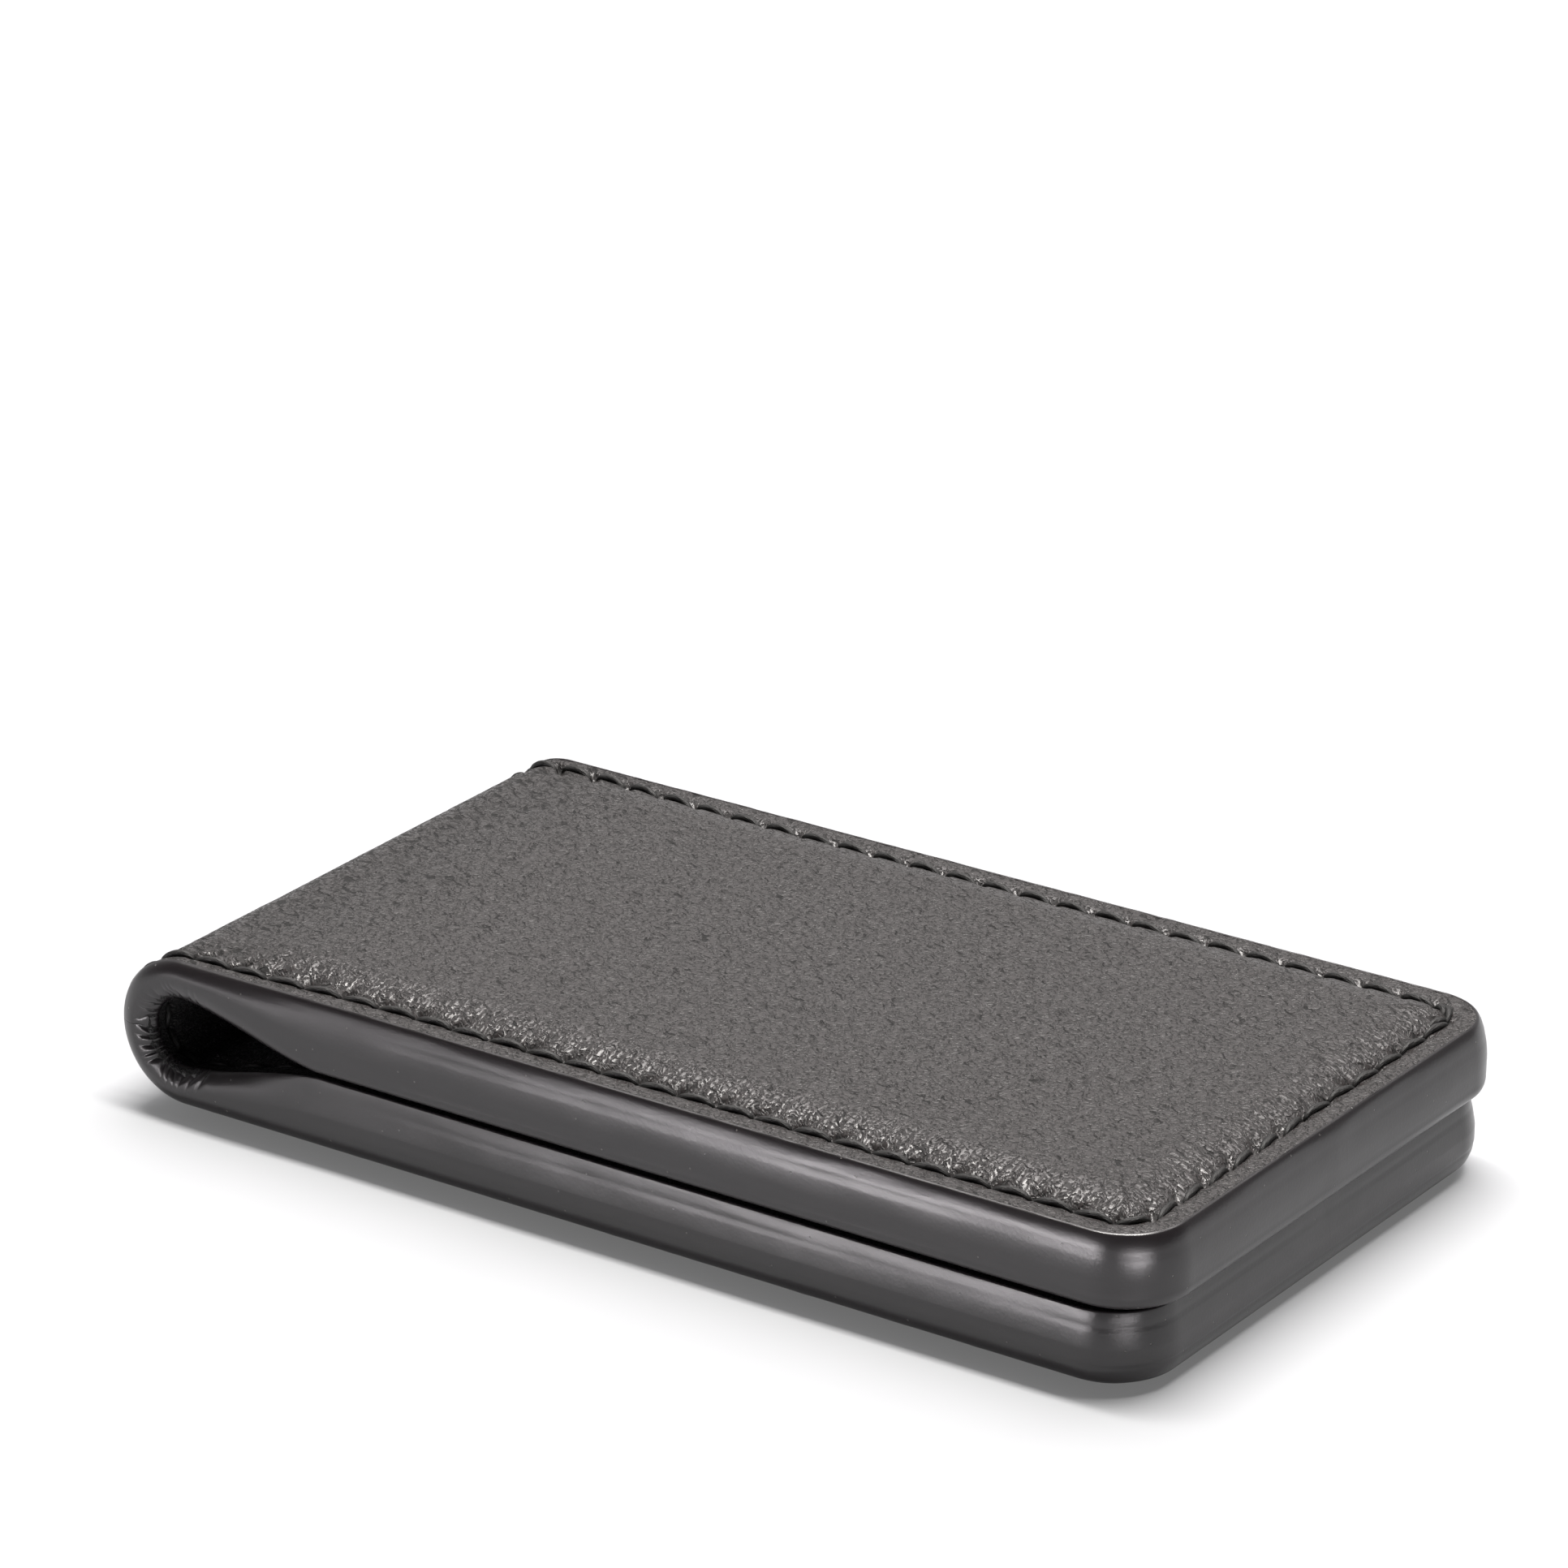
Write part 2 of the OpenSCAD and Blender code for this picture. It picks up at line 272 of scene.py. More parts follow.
def sheet_grid(half, border, border_cells, x_cells, y_cells):
    """Grid over half of a sheet, finer in a border along the painted edges and bent into the corners."""
    end = end_of(half)
    edge = HALF_WIDTH - PAINT_DEPTH
    inner = HALF_WIDTH - border
    x_lines = spaced((MIDFOLD_X, end - border, x_cells), (end - border, end - PAINT_DEPTH, border_cells))
    y_lines = spaced((-edge, -inner, border_cells), (-inner, inner, y_cells), (inner, edge, border_cells))
    x, y = np.meshgrid(x_lines, y_lines, indexing="ij")
    return round_corners(half, x, y)


def tubes(name, paths, radius):
    """Closed tubes along paths (count, rings, 3); radius is (rings, sides) and closes at both ends."""
    paths = np.asarray(paths)
    count = len(paths)
    rings, sides = radius.shape
    ahead = np.gradient(paths, axis=1)
    ahead /= np.linalg.norm(ahead, axis=2, keepdims=True)
    across = np.cross(ahead, [0.0, 0.31, 0.95])
    across /= np.linalg.norm(across, axis=2, keepdims=True)
    up = np.cross(across, ahead)
    turn = np.arange(sides) * 2 * math.pi / sides
    offset = (across[:, :, None] * np.cos(turn)[:, None] + up[:, :, None] * np.sin(turn)[:, None])
    points = paths[:, :, None] + offset * radius[None, :, :, None]
    index = np.arange(count * rings * sides).reshape(count, rings, sides)
    after = np.roll(index, -1, axis=2)
    quads = np.stack([index[:, :-1], after[:, :-1], after[:, 1:], index[:, 1:]], axis=-1).reshape(-1, 4)
    faces = quads.tolist()
    faces += index[:, 0, ::-1].tolist() + index[:, -1].tolist()
    # Each tube has its own place in the texture, beside the one before it
    uv = np.zeros((count, rings, sides, 2))
    uv[..., 0] = np.linspace(0, STITCH_LENGTH, rings)[:, None]
    uv[..., 0] += STITCH_STEP * np.arange(count)[:, None, None]
    uv[..., 1] = turn / (2 * math.pi) * THREAD_ROUND
    return make_mesh(name, points.reshape(-1, 3), faces, len(faces), {"flat": uv.reshape(-1, 2) / UV_UNIT})


# ---------------------------------------------------------------- outer leather

# The crown starts this far from the painted edge, and reaches its height over this distance
CROWN_START = 2.25
CROWN_RUN = 3.0
CROWN_POWER = 2.1
CROWN_UNEVEN = 0.05
GROOVE_WIDTH = 0.36
GROOVE_DEPTH = 0.14
# What the thread does to the leather at a hole: an amount on the panel, and what is added near the fold.
# It pulls the crown's foot back, sinks a pit at the hole and a hollow beside it, and draws creases.
PULLED_BACK = (0.09, 0.40)
PIT_DEPTH = (0.34, 0.20)
HOLLOW_DEPTH = (0.13, 0.22)
FAN_DEPTH = (0.04, 0.20)
WRINKLE_DEPTH = (0.008, 0.035)
MARGIN_PITS = 0.06
UNEVEN_HEIGHT = 0.015
PEBBLE_HEIGHT = 0.004
# How deep the cover dives under the paint, and the inset at which it starts to
DIVE_DEPTH = 0.8
DIVE_START = 0.64


def hole_phase(half, along):
    """Distance along the seam to the nearest needle hole, negative before it, and that hole's number."""
    holes = seam_holes(half)
    place_in_row = np.interp(along, holes, np.arange(len(holes)))
    share = place_in_row - np.floor(place_in_row)
    pitch = np.diff(holes)[np.minimum(place_in_row.astype(int), len(holes) - 2)]
    return np.where(share < 0.5, share, share - 1) * pitch, np.round(place_in_row)


def seam_shift(x):
    """How much nearer to the edge than the needle holes the seam's groove lies: more beside the fold."""
    return 0.5 * smooth((FOLD_X + 13 - x) / 11) - 0.2


def amount(on_panel, added, near_fold):
    """An amount that grows towards the fold."""
    return on_panel + added * near_fold


def crown_height(u, x, y, inset, pulled):
    """Height of the padded middle, which starts farther in where the leather is pulled down."""
    slope = np.clip((inset - CROWN_START - pulled) / CROWN_RUN, 0, 1)
    crown = CROWN_H * (1 - (1 - slope) ** CROWN_POWER) * smooth((x - FOLD_X + 1.0) / 8)
    return np.minimum(crown * (1 + CROWN_UNEVEN * noise(u / 11, y / 8, 11)), CROWN_H)


def creases(along, inset, to_hole, hole, near_fold):
    """Depth of the creases that fan out from the holes, long and deep near the fold."""
    over = np.maximum(inset - SEAM_INSET, 0)
    fan = noise(to_hole / (0.16 + 0.13 * over) + 7 * hole, 0.35 * over, 23)
    reach = 1.6 + 3.0 * near_fold
    fan = np.maximum(fan - 0.05, 0) * smooth((over - 0.25) / 0.4) * smooth((reach + 0.6 - over) / reach)
    beside = smooth((inset - 2.4) / 0.5) * smooth((4.6 + 2.2 * near_fold - inset) / 2.0)
    wrinkle = noise(along / 0.32 + inset * 0.35, inset / 1.2, 21) * beside
    return amount(*FAN_DEPTH, near_fold) * fan - amount(*WRINKLE_DEPTH, near_fold) * wrinkle


def cover_height(half, x, y, inset, along):
    """Height of the outer leather over its margin."""
    u = sheet_u(half, x)
    under_paint = DIVE_DEPTH * np.clip((DIVE_START - inset) / (DIVE_START - PAINT_DEPTH), 0, 1)
    inset = inset + seam_shift(x) * smooth(inset - 0.6)
    to_hole, hole = hole_phase(half, along)
    near_fold = smooth((FOLD_X + 11 - x) / 9) * smooth((x - MIDFOLD_X) / 5)
    pulled = amount(*PULLED_BACK, near_fold) * bump(to_hole, 0.5)
    crown = crown_height(u, x, y, inset, pulled)
    groove = GROOVE_DEPTH * bump(inset - SEAM_INSET, GROOVE_WIDTH)
    slant = to_hole + 0.8 * (inset - SEAM_INSET)
    pit = bump(slant, 0.27) * bump(inset - SEAM_INSET - 0.15, 0.42)
    hollow = bump(slant, 0.3) * bump(inset - SEAM_INSET - 0.7, 0.45)
    at_hole = amount(*PIT_DEPTH, near_fold) * pit + amount(*HOLLOW_DEPTH, near_fold) * hollow
    margin = smooth((SEAM_INSET - 0.2 - inset) / 0.3)
    pitted = MARGIN_PITS * np.maximum(noise(u / 0.36, y / 0.36, 31) - 0.15, 0) * margin
    uneven = UNEVEN_HEIGHT * layered_noise(u / 3.1, y / 2.3, 41)
    pebble = PEBBLE_HEIGHT * layered_noise(u / 0.55, y / 0.45, 51)
    body = (uneven + pebble) * smooth((inset - 0.6) / 1.5)
    drawn = creases(along, inset, to_hole, hole, near_fold)
    return crown + body - groove - at_hole - drawn - pitted - under_paint


def outer_cover(half):
    x, y, inset, along = sheet_grid(half, border=5.6, border_cells=36, x_cells=380, y_cells=116)
    height = cover_height(half, x, y, inset, along)
    slope = np.clip((inset[THIN] - CROWN_START - 0.6) / CROWN_RUN, 0, 1)
    hollow = CROWN_H * slope * smooth((x[THIN] - FOLD_X + 1.5) / 7)
    return skin(half + "_cover", half, x, y, -height, LEATHER_T - hollow, half == "upper", (along, inset))


# ---------------------------------------------------------------- lining, tape and pads

LINING_GROOVE = 0.3
LINING_PIT = 0.22
LINING_CREASE = 0.07
LINING_UNEVEN = 0.012
# How far the lining's rim lies inside the painted lip
UNDER_LIP = 0.07
TAPE_CLEARANCE = 0.03
TAPE_RIB_HEIGHT = 0.02
TAPE_RIB_PITCH = 1.2
# Lip between the painted edge and the lining: how far in it reaches, the share of the thickness
# at which it starts, and its fullness
LIPS = {"lower": (0.42, 0.50, 1.15), "upper": (0.55, 0.80, 2.2)}
FOLD_LIP = (0.75, 0.50, 1.8)


def lip_shape(half, x):
    """The lip's three numbers, the same for both halves at the fold."""
    share = smooth((x - FOLD_X - 1) / 9)
    return [a + (b - a) * share for a, b in zip(FOLD_LIP, LIPS[half])]


def lip_depth(inset, t_here, shape):
    run, start, power = shape
    share = np.clip(inset / run, 0, 1)
    return t_here * (start + (1 - start) * (1 - (1 - share) ** power) ** (1 / power))


def lining_skin(half):
    x, y, inset, along = sheet_grid(half, border=5, border_cells=24, x_cells=260, y_cells=60)
    u = sheet_u(half, x)
    to_hole, _ = hole_phase(half, along)
    in_fold = smooth((FOLD_X + 5 - x) / 5)
    groove = LINING_GROOVE * bump(inset - SEAM_INSET, 0.32)
    pit = LINING_PIT * bump(to_hole, 0.3) * bump(inset - SEAM_INSET, 0.4)
    crease = LINING_CREASE * in_fold * (noise(u / 0.5 + 0.4 * noise(u / 2, y / 3, 61), y / 5, 62) - 1)
    sunk = groove + pit - crease - LINING_UNEVEN * (layered_noise(u / 0.9, y / 0.8, 63) - 1.5)
    t_here = thickness(x)
    lip = lip_depth(inset, t_here, lip_shape(half, x)) - UNDER_LIP
    return skin(half + "_lining_skin", half, x, y, np.minimum(t_here - sunk, lip),
                thickness(x[THIN]) - LINING_T, half == "lower", (along, inset))


def fold_tape(half):
    edge = HALF_WIDTH - PAINT_DEPTH - 0.1
    x, y = np.meshgrid(spaced((MIDFOLD_X, FOLD_X, 40)), spaced((-edge, edge, 120)), indexing="ij")
    ribs = TAPE_RIB_HEIGHT * np.cos(2 * math.pi * y / TAPE_RIB_PITCH)
    return skin(half + "_fold_tape", half, x, y, TAPE_DEPTH + TAPE_CLEARANCE - ribs,
                TAPE_DEPTH + TAPE_T - TAPE_CLEARANCE, half == "upper")


def crowned_pad(half):
    """Foam under the crown: flat on the board, and thinning to nothing beside the seam."""
    rim = CROWN_START + 0.7
    x_lines = spaced((FOLD_X + 0.6, end_of(half) - rim, 100))
    y_lines = spaced((rim - HALF_WIDTH, HALF_WIDTH - rim, 60))
    x, y = np.meshgrid(x_lines, y_lines, indexing="ij")
    x, y, inset, _ = round_corners(half, x, y)
    slope = np.clip((inset - rim) / CROWN_RUN, 0, 1)
    full = (CROWN_H - 0.04) * slope ** 0.8 * smooth((x - FOLD_X + 0.8) / 7)
    depth = LEATHER_T - 0.03 - np.minimum(full, CROWN_H - 0.06)
    return skin(half + "_padding", half, x, y, depth, LEATHER_T - 0.005, half == "upper")


# ---------------------------------------------------------------- edge paint

# The paint's section, out from the leather's edge: a round rim from RIM_OUT to PAINT_DEPTH, a wall, a lip
RIM_OUT = -0.25
RIM_POWER = 1.6
RIM_DEPTH = {"lower": 1.3, "upper": 2.5}
FOLD_RIM_DEPTH = 1.0
ROUND_STEPS = 20
WALL_STEPS = 3
# Bead over the leather's rim, and the hidden corners of the section
BEAD_OUT = np.array([-0.43, -0.35, -0.29])
BEAD_DEPTH = np.array([0.08, -0.02, -0.035])
HIDDEN_OUT = np.array([-0.72, -0.45])
HIDDEN_FROM_LINING = 0.3
HIDDEN_FROM_RIM = 0.4
# Unevenness of the paint, and the pleats that it and the lining make inside the fold
WAVE_DEPTH = 0.035
RIPPLE_DEPTH = 0.004
LAYER_LINE_DEPTH = 0.022
RIM_WAVE = 0.03
PLEAT_ANGLE = math.radians(11)
PLEAT_DEPTH = 0.32
PLEAT_SHIFT = 0.14


def rim_reach(half, x):
    """Depth over which the paint rounds to its widest, the same for both halves at the fold."""
    share = smooth((x - FOLD_X - 1) / 12)
    return FOLD_RIM_DEPTH + (RIM_DEPTH[half] - FOLD_RIM_DEPTH) * share


def paint_section(half, x):
    """Outward distance from the leather and depth under the margin, from the leather's rim to the lining."""
    t_here = thickness(x)
    turn = np.linspace(0, math.pi / 2, ROUND_STEPS)
    rim_out = RIM_OUT + (PAINT_DEPTH - RIM_OUT) * np.sin(turn) ** (2 / RIM_POWER)
    rim = rim_reach(half, x) * (1 - np.cos(turn) ** (2 / RIM_POWER))
    shape = lip_shape(half, x)
    inset = shape[0] * (1 - np.cos(turn))
    lip = lip_depth(inset, t_here, shape)
    wall = np.linspace(rim[-1], lip[0], WALL_STEPS + 2)[1:-1]
    out = np.concatenate([rim_out, 0 * wall + PAINT_DEPTH, PAINT_DEPTH - inset])
    return out, np.concatenate([rim, wall, lip])


def edge_path(half):
    """Stations along the painted edge, as x, y and the outward direction. They run from mid-fold on the
    rear side, round the free end, to mid-fold on the front side."""
    end = end_of(half)
    per_mm = 5 // COARSE
    fold_end = FOLD_X + 2
    fold_x = np.linspace(MIDFOLD_X, fold_end, 30 * per_mm)[:-1]
    side_x = np.linspace(fold_end, end - CORNER_R, int(per_mm * (end - CORNER_R - fold_end)) + 1)
    side_x = np.concatenate([fold_x, side_x])
    end_y = np.linspace(SEAM_END_HALF, 0, int(per_mm * SEAM_END_HALF) + 1)[1:]
    arc = np.linspace(math.pi / 2, 0, 28)[1:]
    r = CORNER_R - PAINT_DEPTH
    arc_x, arc_y = np.cos(arc), np.sin(arc)
    stretches = ((side_x, HALF_WIDTH - PAINT_DEPTH, 0, 1),
                 (end - CORNER_R + r * arc_x, SEAM_END_HALF + r * arc_y, arc_x, arc_y),
                 (end - PAINT_DEPTH, end_y, 1, 0))
    rear = np.concatenate([np.stack(np.broadcast_arrays(*stretch), axis=-1) for stretch in stretches])
    front = rear[::-1][1:] * [1, -1, 1, -1]
    return np.concatenate([rear, front])


def paint_waves(x, from_fold, depth):
    """Outward waves in the paint, with faint hollows where the layers meet."""
    t_here = thickness(x)
    share = depth / t_here
    body = smooth(share / 0.15) * smooth((1.02 - share) / 0.2)
    waves = WAVE_DEPTH * layered_noise(from_fold / 6, depth / 3, 71)
    waves = waves + RIPPLE_DEPTH * layered_noise(from_fold / 1.4, depth / 1.1, 72)
    lines = bump(depth - LEATHER_T, 0.13) + bump(t_here - LINING_T - depth, 0.13)
    lines = lines * smooth((x - FOLD_X - 6) / 10) * (0.8 + 0.8 * noise(from_fold / 9, 0 * depth, 73))
    return waves * body - LAYER_LINE_DEPTH * lines


def fold_pleats(half, x, share):
    """Strength of the pleats inside the fold, and their shape from 0 in a crease to 1 on a pleat."""
    in_fold = smooth((FOLD_X + 3.0 - x) / 3)
    turn = (FOLD_X - x) / FOLD_R
    if half == "upper":
        turn = math.pi - turn
    wander = turn / PLEAT_ANGLE + 0.7 * noise(turn * 4, share * 2, 74)
    pleats = np.abs(np.sin(math.pi * wander)) ** 0.8 * (0.7 + 0.3 * noise(wander, 0 * share, 75))
    strong = in_fold * (1 - 0.6 * smooth((turn - math.radians(70)) / math.radians(50)))
    return strong * np.clip((share - 0.40) / 0.55, 0, 1) ** 1.4, pleats


def edge_paint(half):
    path = edge_path(half)
    x, y, nx, ny = path.T[:, :, None]
    step_length = np.hypot(np.diff(path[:, 0]), np.diff(path[:, 1]))
    run = np.concatenate([[0], np.cumsum(step_length)])[:, None]
    from_fold = np.minimum(run, run[-1] - run) * (1 if half == "lower" else -1)
    t_here = thickness(x)
    out, depth = np.array([paint_section(half, station_x) for station_x in path[:, 0]]).transpose(1, 0, 2)
    crinkled, pleats = fold_pleats(half, x, depth / t_here)
    out = out + paint_waves(x, from_fold, depth) - PLEAT_DEPTH * crinkled * (1 - pleats)
    depth = depth + PLEAT_SHIFT * crinkled * (pleats - 0.5)
    rim_wave = RIM_WAVE * (noise(from_fold / 0.8, 0 * run, 76) + noise(from_fold / 3.1, 0 * run, 77))
    front_out = BEAD_OUT + rim_wave * [1, 1, 0.8]
    back_depth = np.concatenate([t_here - HIDDEN_FROM_LINING, 0 * t_here + HIDDEN_FROM_RIM], axis=1)
    out = np.concatenate([front_out, out, HIDDEN_OUT + 0 * run], axis=1)
    depth = np.concatenate([BEAD_DEPTH + 0 * run, depth, back_depth], axis=1)
    points = place(half, x + nx * out, y + ny * out, depth)
    rings, sides = points.shape[:2]
    index = np.arange(rings * sides).reshape(rings, sides)
    after = np.roll(index, -1, axis=1)
    quads = np.stack([index[:-1], index[1:], after[1:], after[:-1]], axis=-1).reshape(-1, 4).tolist()
    caps = [index[0].tolist(), index[-1, ::-1].tolist()]
    if half == "upper":
        quads = [quad[::-1] for quad in quads]
        caps = [cap[::-1] for cap in caps]
    length = np.cumsum(np.hypot(np.diff(out), np.diff(depth)), axis=1)
    length = np.concatenate([np.zeros((rings, 1)), length], axis=1)
    uv = np.stack([run + 0 * length, length], axis=-1).reshape(-1, 2) / UV_UNIT
    return make_mesh(half + "_edge_paint", points.reshape(-1, 3), quads + caps, len(quads), {"flat": uv})


# ---------------------------------------------------------------- stitches

THREAD_R = {"outer": 0.22, "inner": 0.19}
# In the texture: the distance round the thread, the length of a stitch, and the step from one to the next
THREAD_ROUND = 1.4
STITCH_LENGTH = 2.5
STITCH_STEP = 3
STITCH_RINGS = 17
THREAD_SIDES = 12
# Share of the pitch between a hole and the stitch's end, slant across the seam, and uneven placing
STITCH_GAP = 0.04
STITCH_SLANT = {"outer": -0.34, "inner": 0.16}
STITCH_JITTER = 0.05
# Depth of the thread's middle under its face, and how far its ends dip into the holes
THREAD_DEPTH = {"outer": -0.06, "inner": 0.22}
END_DIP = {"outer": 0.55, "inner": 0.4}
PLY_TWIST = 5.5
# The short over-sewn row at the free end of the upper panel, and how it drifts towards the edge
EXTRA_STITCHES = 4
EXTRA_START = SEAM_END_HALF - 1.2
EXTRA_PITCH = 2.3
EXTRA_LENGTH = 2.1
EXTRA_SHIFT = 0.3
EXTRA_DRIFT = 0.12


def stitch_paths(half, face, extra):
    """Centre lines of the stitches on the outer or inner face; extra adds (start, end, side, shift) ones."""
    holes = seam_holes(half)
    last = len(holes) - 1 if half == "lower" else len(holes) - 2
    spans = [(holes[k], holes[k + 1], side, 0) for side in (-1, 1) for k in range(last)]
    t = np.linspace(0, 1, STITCH_RINGS)
    dip = 1 - np.sin(math.pi * t) ** 0.45
    paths = []
    for k, (a, b, side, shift) in enumerate(spans + extra):
        s = a + (b - a) * (STITCH_GAP + (1 - 2 * STITCH_GAP) * t)
        jitter = STITCH_JITTER * lattice(np.int64(k), np.int64(3), 81)
        inset = SEAM_INSET + (t - 0.5) * STITCH_SLANT[face] + jitter + shift
        x, y = seam_place(half, s, side, inset)
        depth = THREAD_DEPTH[face] + END_DIP[face] * dip
        if face == "outer":
            x, y = seam_place(half, s, side, inset - seam_shift(x))
        else:
            depth = thickness(x) - depth
        paths.append(place(half, x, y, depth))
    return paths


def stitches(half, face):
    extra = []
    if face == "outer" and half == "upper":
        for k in range(EXTRA_STITCHES):
            start = EXTRA_START + EXTRA_PITCH * k
            extra.append((start, start + EXTRA_LENGTH, 1, EXTRA_SHIFT - EXTRA_DRIFT * k))
    t = np.linspace(0, 1, STITCH_RINGS)[:, None]
    turn = np.arange(THREAD_SIDES) * 2 * math.pi / THREAD_SIDES
    plies = 0.80 + 0.20 * np.abs(np.cos(turn - PLY_TWIST * t))
    taper = np.sin(math.pi * (t * 0.94 + 0.03)) ** 0.3
    name = "needle_stitches" if face == "outer" else "bobbin_stitches"
    return tubes(half + "_" + name, stitch_paths(half, face, extra), THREAD_R[face] * plies * taper)


# ---------------------------------------------------------------- materials

def add(tree, kind, inputs=None, **settings):
    node = tree.nodes.new(kind)
    for key, value in settings.items():
        setattr(node, key, value)
    for socket, value in (inputs or {}).items():
        if isinstance(value, bpy.types.NodeSocket):
            tree.links.new(value, node.inputs[socket])
        else:
            node.inputs[socket].default_value = value
    return node


def new_material(name, **fixed):
    material = bpy.data.materials.new(name)
    material.use_nodes = True
    tree = material.node_tree
    shader = tree.nodes["Principled BSDF"]
    for socket, value in fixed.items():
        shader.inputs[socket.replace("_", " ")].default_value = value
    return material, tree, shader


def mapped(tree, vector, scale=(1, 1, 1), angle=0):
    """A texture vector stretched and turned."""
    inputs = {"Vector": vector, "Scale": scale, "Rotation": (0, 0, angle)}
    return add(tree, "ShaderNodeMapping", inputs).outputs[0]


def uv_mm(tree, uv_name, scale=(1, 1, 1), angle=0):
    """A named texture map in millimetres, stretched and turned."""
    uv = add(tree, "ShaderNodeUVMap", uv_map=uv_name).outputs[0]
    factors = tuple(UV_UNIT * s for s in scale)
    return mapped(tree, uv, factors, angle)


def ramp(tree, value, low, high, to_low=0.0, to_high=1.0):
    inputs = {"Value": value, "From Min": low, "From Max": high, "To Min": to_low, "To Max": to_high}
    return add(tree, "ShaderNodeMapRange", inputs, clamp=True).outputs[0]


def math_node(tree, operation, a, b):
    return add(tree, "ShaderNodeMath", {0: a, 1: b}, operation=operation).outputs[0]


def mix_colour(tree, factor, a, b):
    return add(tree, "ShaderNodeMix", {0: factor, 6: a, 7: b}, data_type="RGBA").outputs[2]


def grain(tree, vector, scale, detail):
    inputs = {"Vector": vector, "Scale": scale, "Detail": detail, "Roughness": 0.5}
    return add(tree, "ShaderNodeTexNoise", inputs, noise_dimensions="2D").outputs[0]


def cells(tree, vector, scale):
    """Distance from the nearest of a scatter of points, scale of them to a millimetre."""
    inputs = {"Vector": vector, "Scale": scale}
    return add(tree, "ShaderNodeTexVoronoi", inputs, voronoi_dimensions="2D").outputs["Distance"]


def surface_bump(tree, shader, height, distance):
    node = add(tree, "ShaderNodeBump", {"Height": height, "Distance": distance, "Strength": 1.0})
    tree.links.new(node.outputs[0], shader.inputs["Normal"])


def dashes(tree, vector, along, across, start, more, detail=1.0):
    """0 in short scattered dashes and 1 elsewhere; sizes are counts per millimetre, and more adds dashes."""
    stretched = mapped(tree, vector, (along, across, 1))
    value = math_node(tree, "ADD", grain(tree, stretched, 1.0, detail), more)
    return ramp(tree, value, start, start + 0.09, 1.0, 0.0)


GRAIN_ANGLE = -0.55
PORES_PER_MM = 4.2
# Heights of the bump maps, in metres
LEATHER_RELIEF = 0.00014
PAINT_RELIEF = 0.00002
CREASE_DULLNESS = 0.60


def leather(name, body, worn, roughness, creased):
    """Black leather: fine pores, short dashes and longer creases, and wrinkles that run up from the seam."""
    material, tree, shader = new_material(name, Specular_IOR_Level=0.6)
    mm = uv_mm(tree, "flat")
    shift = add(tree, "ShaderNodeTexNoise", {"Vector": mm, "Scale": 1.3}, noise_dimensions="2D").outputs[1]
    warp = add(tree, "ShaderNodeVectorMath", {0: shift, 1: (0.8, 0.8, 0.8)}, operation="MULTIPLY").outputs[0]
    wavy = add(tree, "ShaderNodeVectorMath", {0: mm, 1: warp}, operation="ADD").outputs[0]
    turned = mapped(tree, wavy, angle=GRAIN_ANGLE)
    pores = ramp(tree, cells(tree, turned, PORES_PER_MM), 0.14, 0.42)
    speckle = grain(tree, mm, 8.0, 1.0)
    across = add(tree, "ShaderNodeSeparateXYZ", {0: mm}).outputs[0]
    from_fold = math_node(tree, "SUBTRACT", across, UV_UNIT + MIDFOLD_X)
    near_fold = ramp(tree, math_node(tree, "ABSOLUTE", from_fold, 0.0), 5.0, 17.0, 0.10, 0.0)
    short = dashes(tree, turned, 2.0, 6.0, 0.56, near_fold)
    crease = dashes(tree, turned, 0.8, 3.0, 0.66, near_fold, 2.0)
    inset = add(tree, "ShaderNodeSeparateXYZ", {0: uv_mm(tree, "seam")}).outputs[1]
    beside = math_node(tree, "MULTIPLY", ramp(tree, inset, 2.2, 2.7), ramp(tree, inset, 3.2, 6.0, 1.0, 0.0))
    drawn = grain(tree, uv_mm(tree, "seam", (3.6, 1.1, 1)), 1.0, 0.0)
    drawn = math_node(tree, "MULTIPLY", math_node(tree, "SUBTRACT", drawn, 0.5), beside)
    height = 0.0
    for part, amount in ((pores, 0.25), (speckle, 0.10), (short, 0.22), (crease, creased), (drawn, 0.65)):
        height = math_node(tree, "ADD", height, math_node(tree, "MULTIPLY", part, amount))
    surface_bump(tree, shader, height, LEATHER_RELIEF)
    # Pores and creases are painted darker, as shade in the pits and creases, and are duller than the leather
    # between them
    short_tone = ramp(tree, short, 0.0, 1.0, 0.35, 1.0)
    crease_tone = ramp(tree, crease, 0.0, 1.0, 0.1, 1.0)
    lines = math_node(tree, "MULTIPLY", short_tone, crease_tone)
    dark = math_node(tree, "MULTIPLY", ramp(tree, pores, 0.0, 1.0, 0.3, 1.0), lines)
    tone = math_node(tree, "MULTIPLY", dark, ramp(tree, speckle, 0.3, 0.7, 0.55, 1.0))
    painted_pit_shade = (*[0.05 * c for c in body[:3]], 1)
    tree.links.new(mix_colour(tree, tone, painted_pit_shade, worn), shader.inputs["Base Color"])
    gloss = ramp(tree, grain(tree, mm, 1.1, 3.0), 0.3, 0.7, roughness - 0.03, roughness + 0.04)
    dull = math_node(tree, "ADD", gloss, ramp(tree, dark, 0.1, 1.0, CREASE_DULLNESS, 0.0))
    tree.links.new(dull, shader.inputs["Roughness"])
    return material


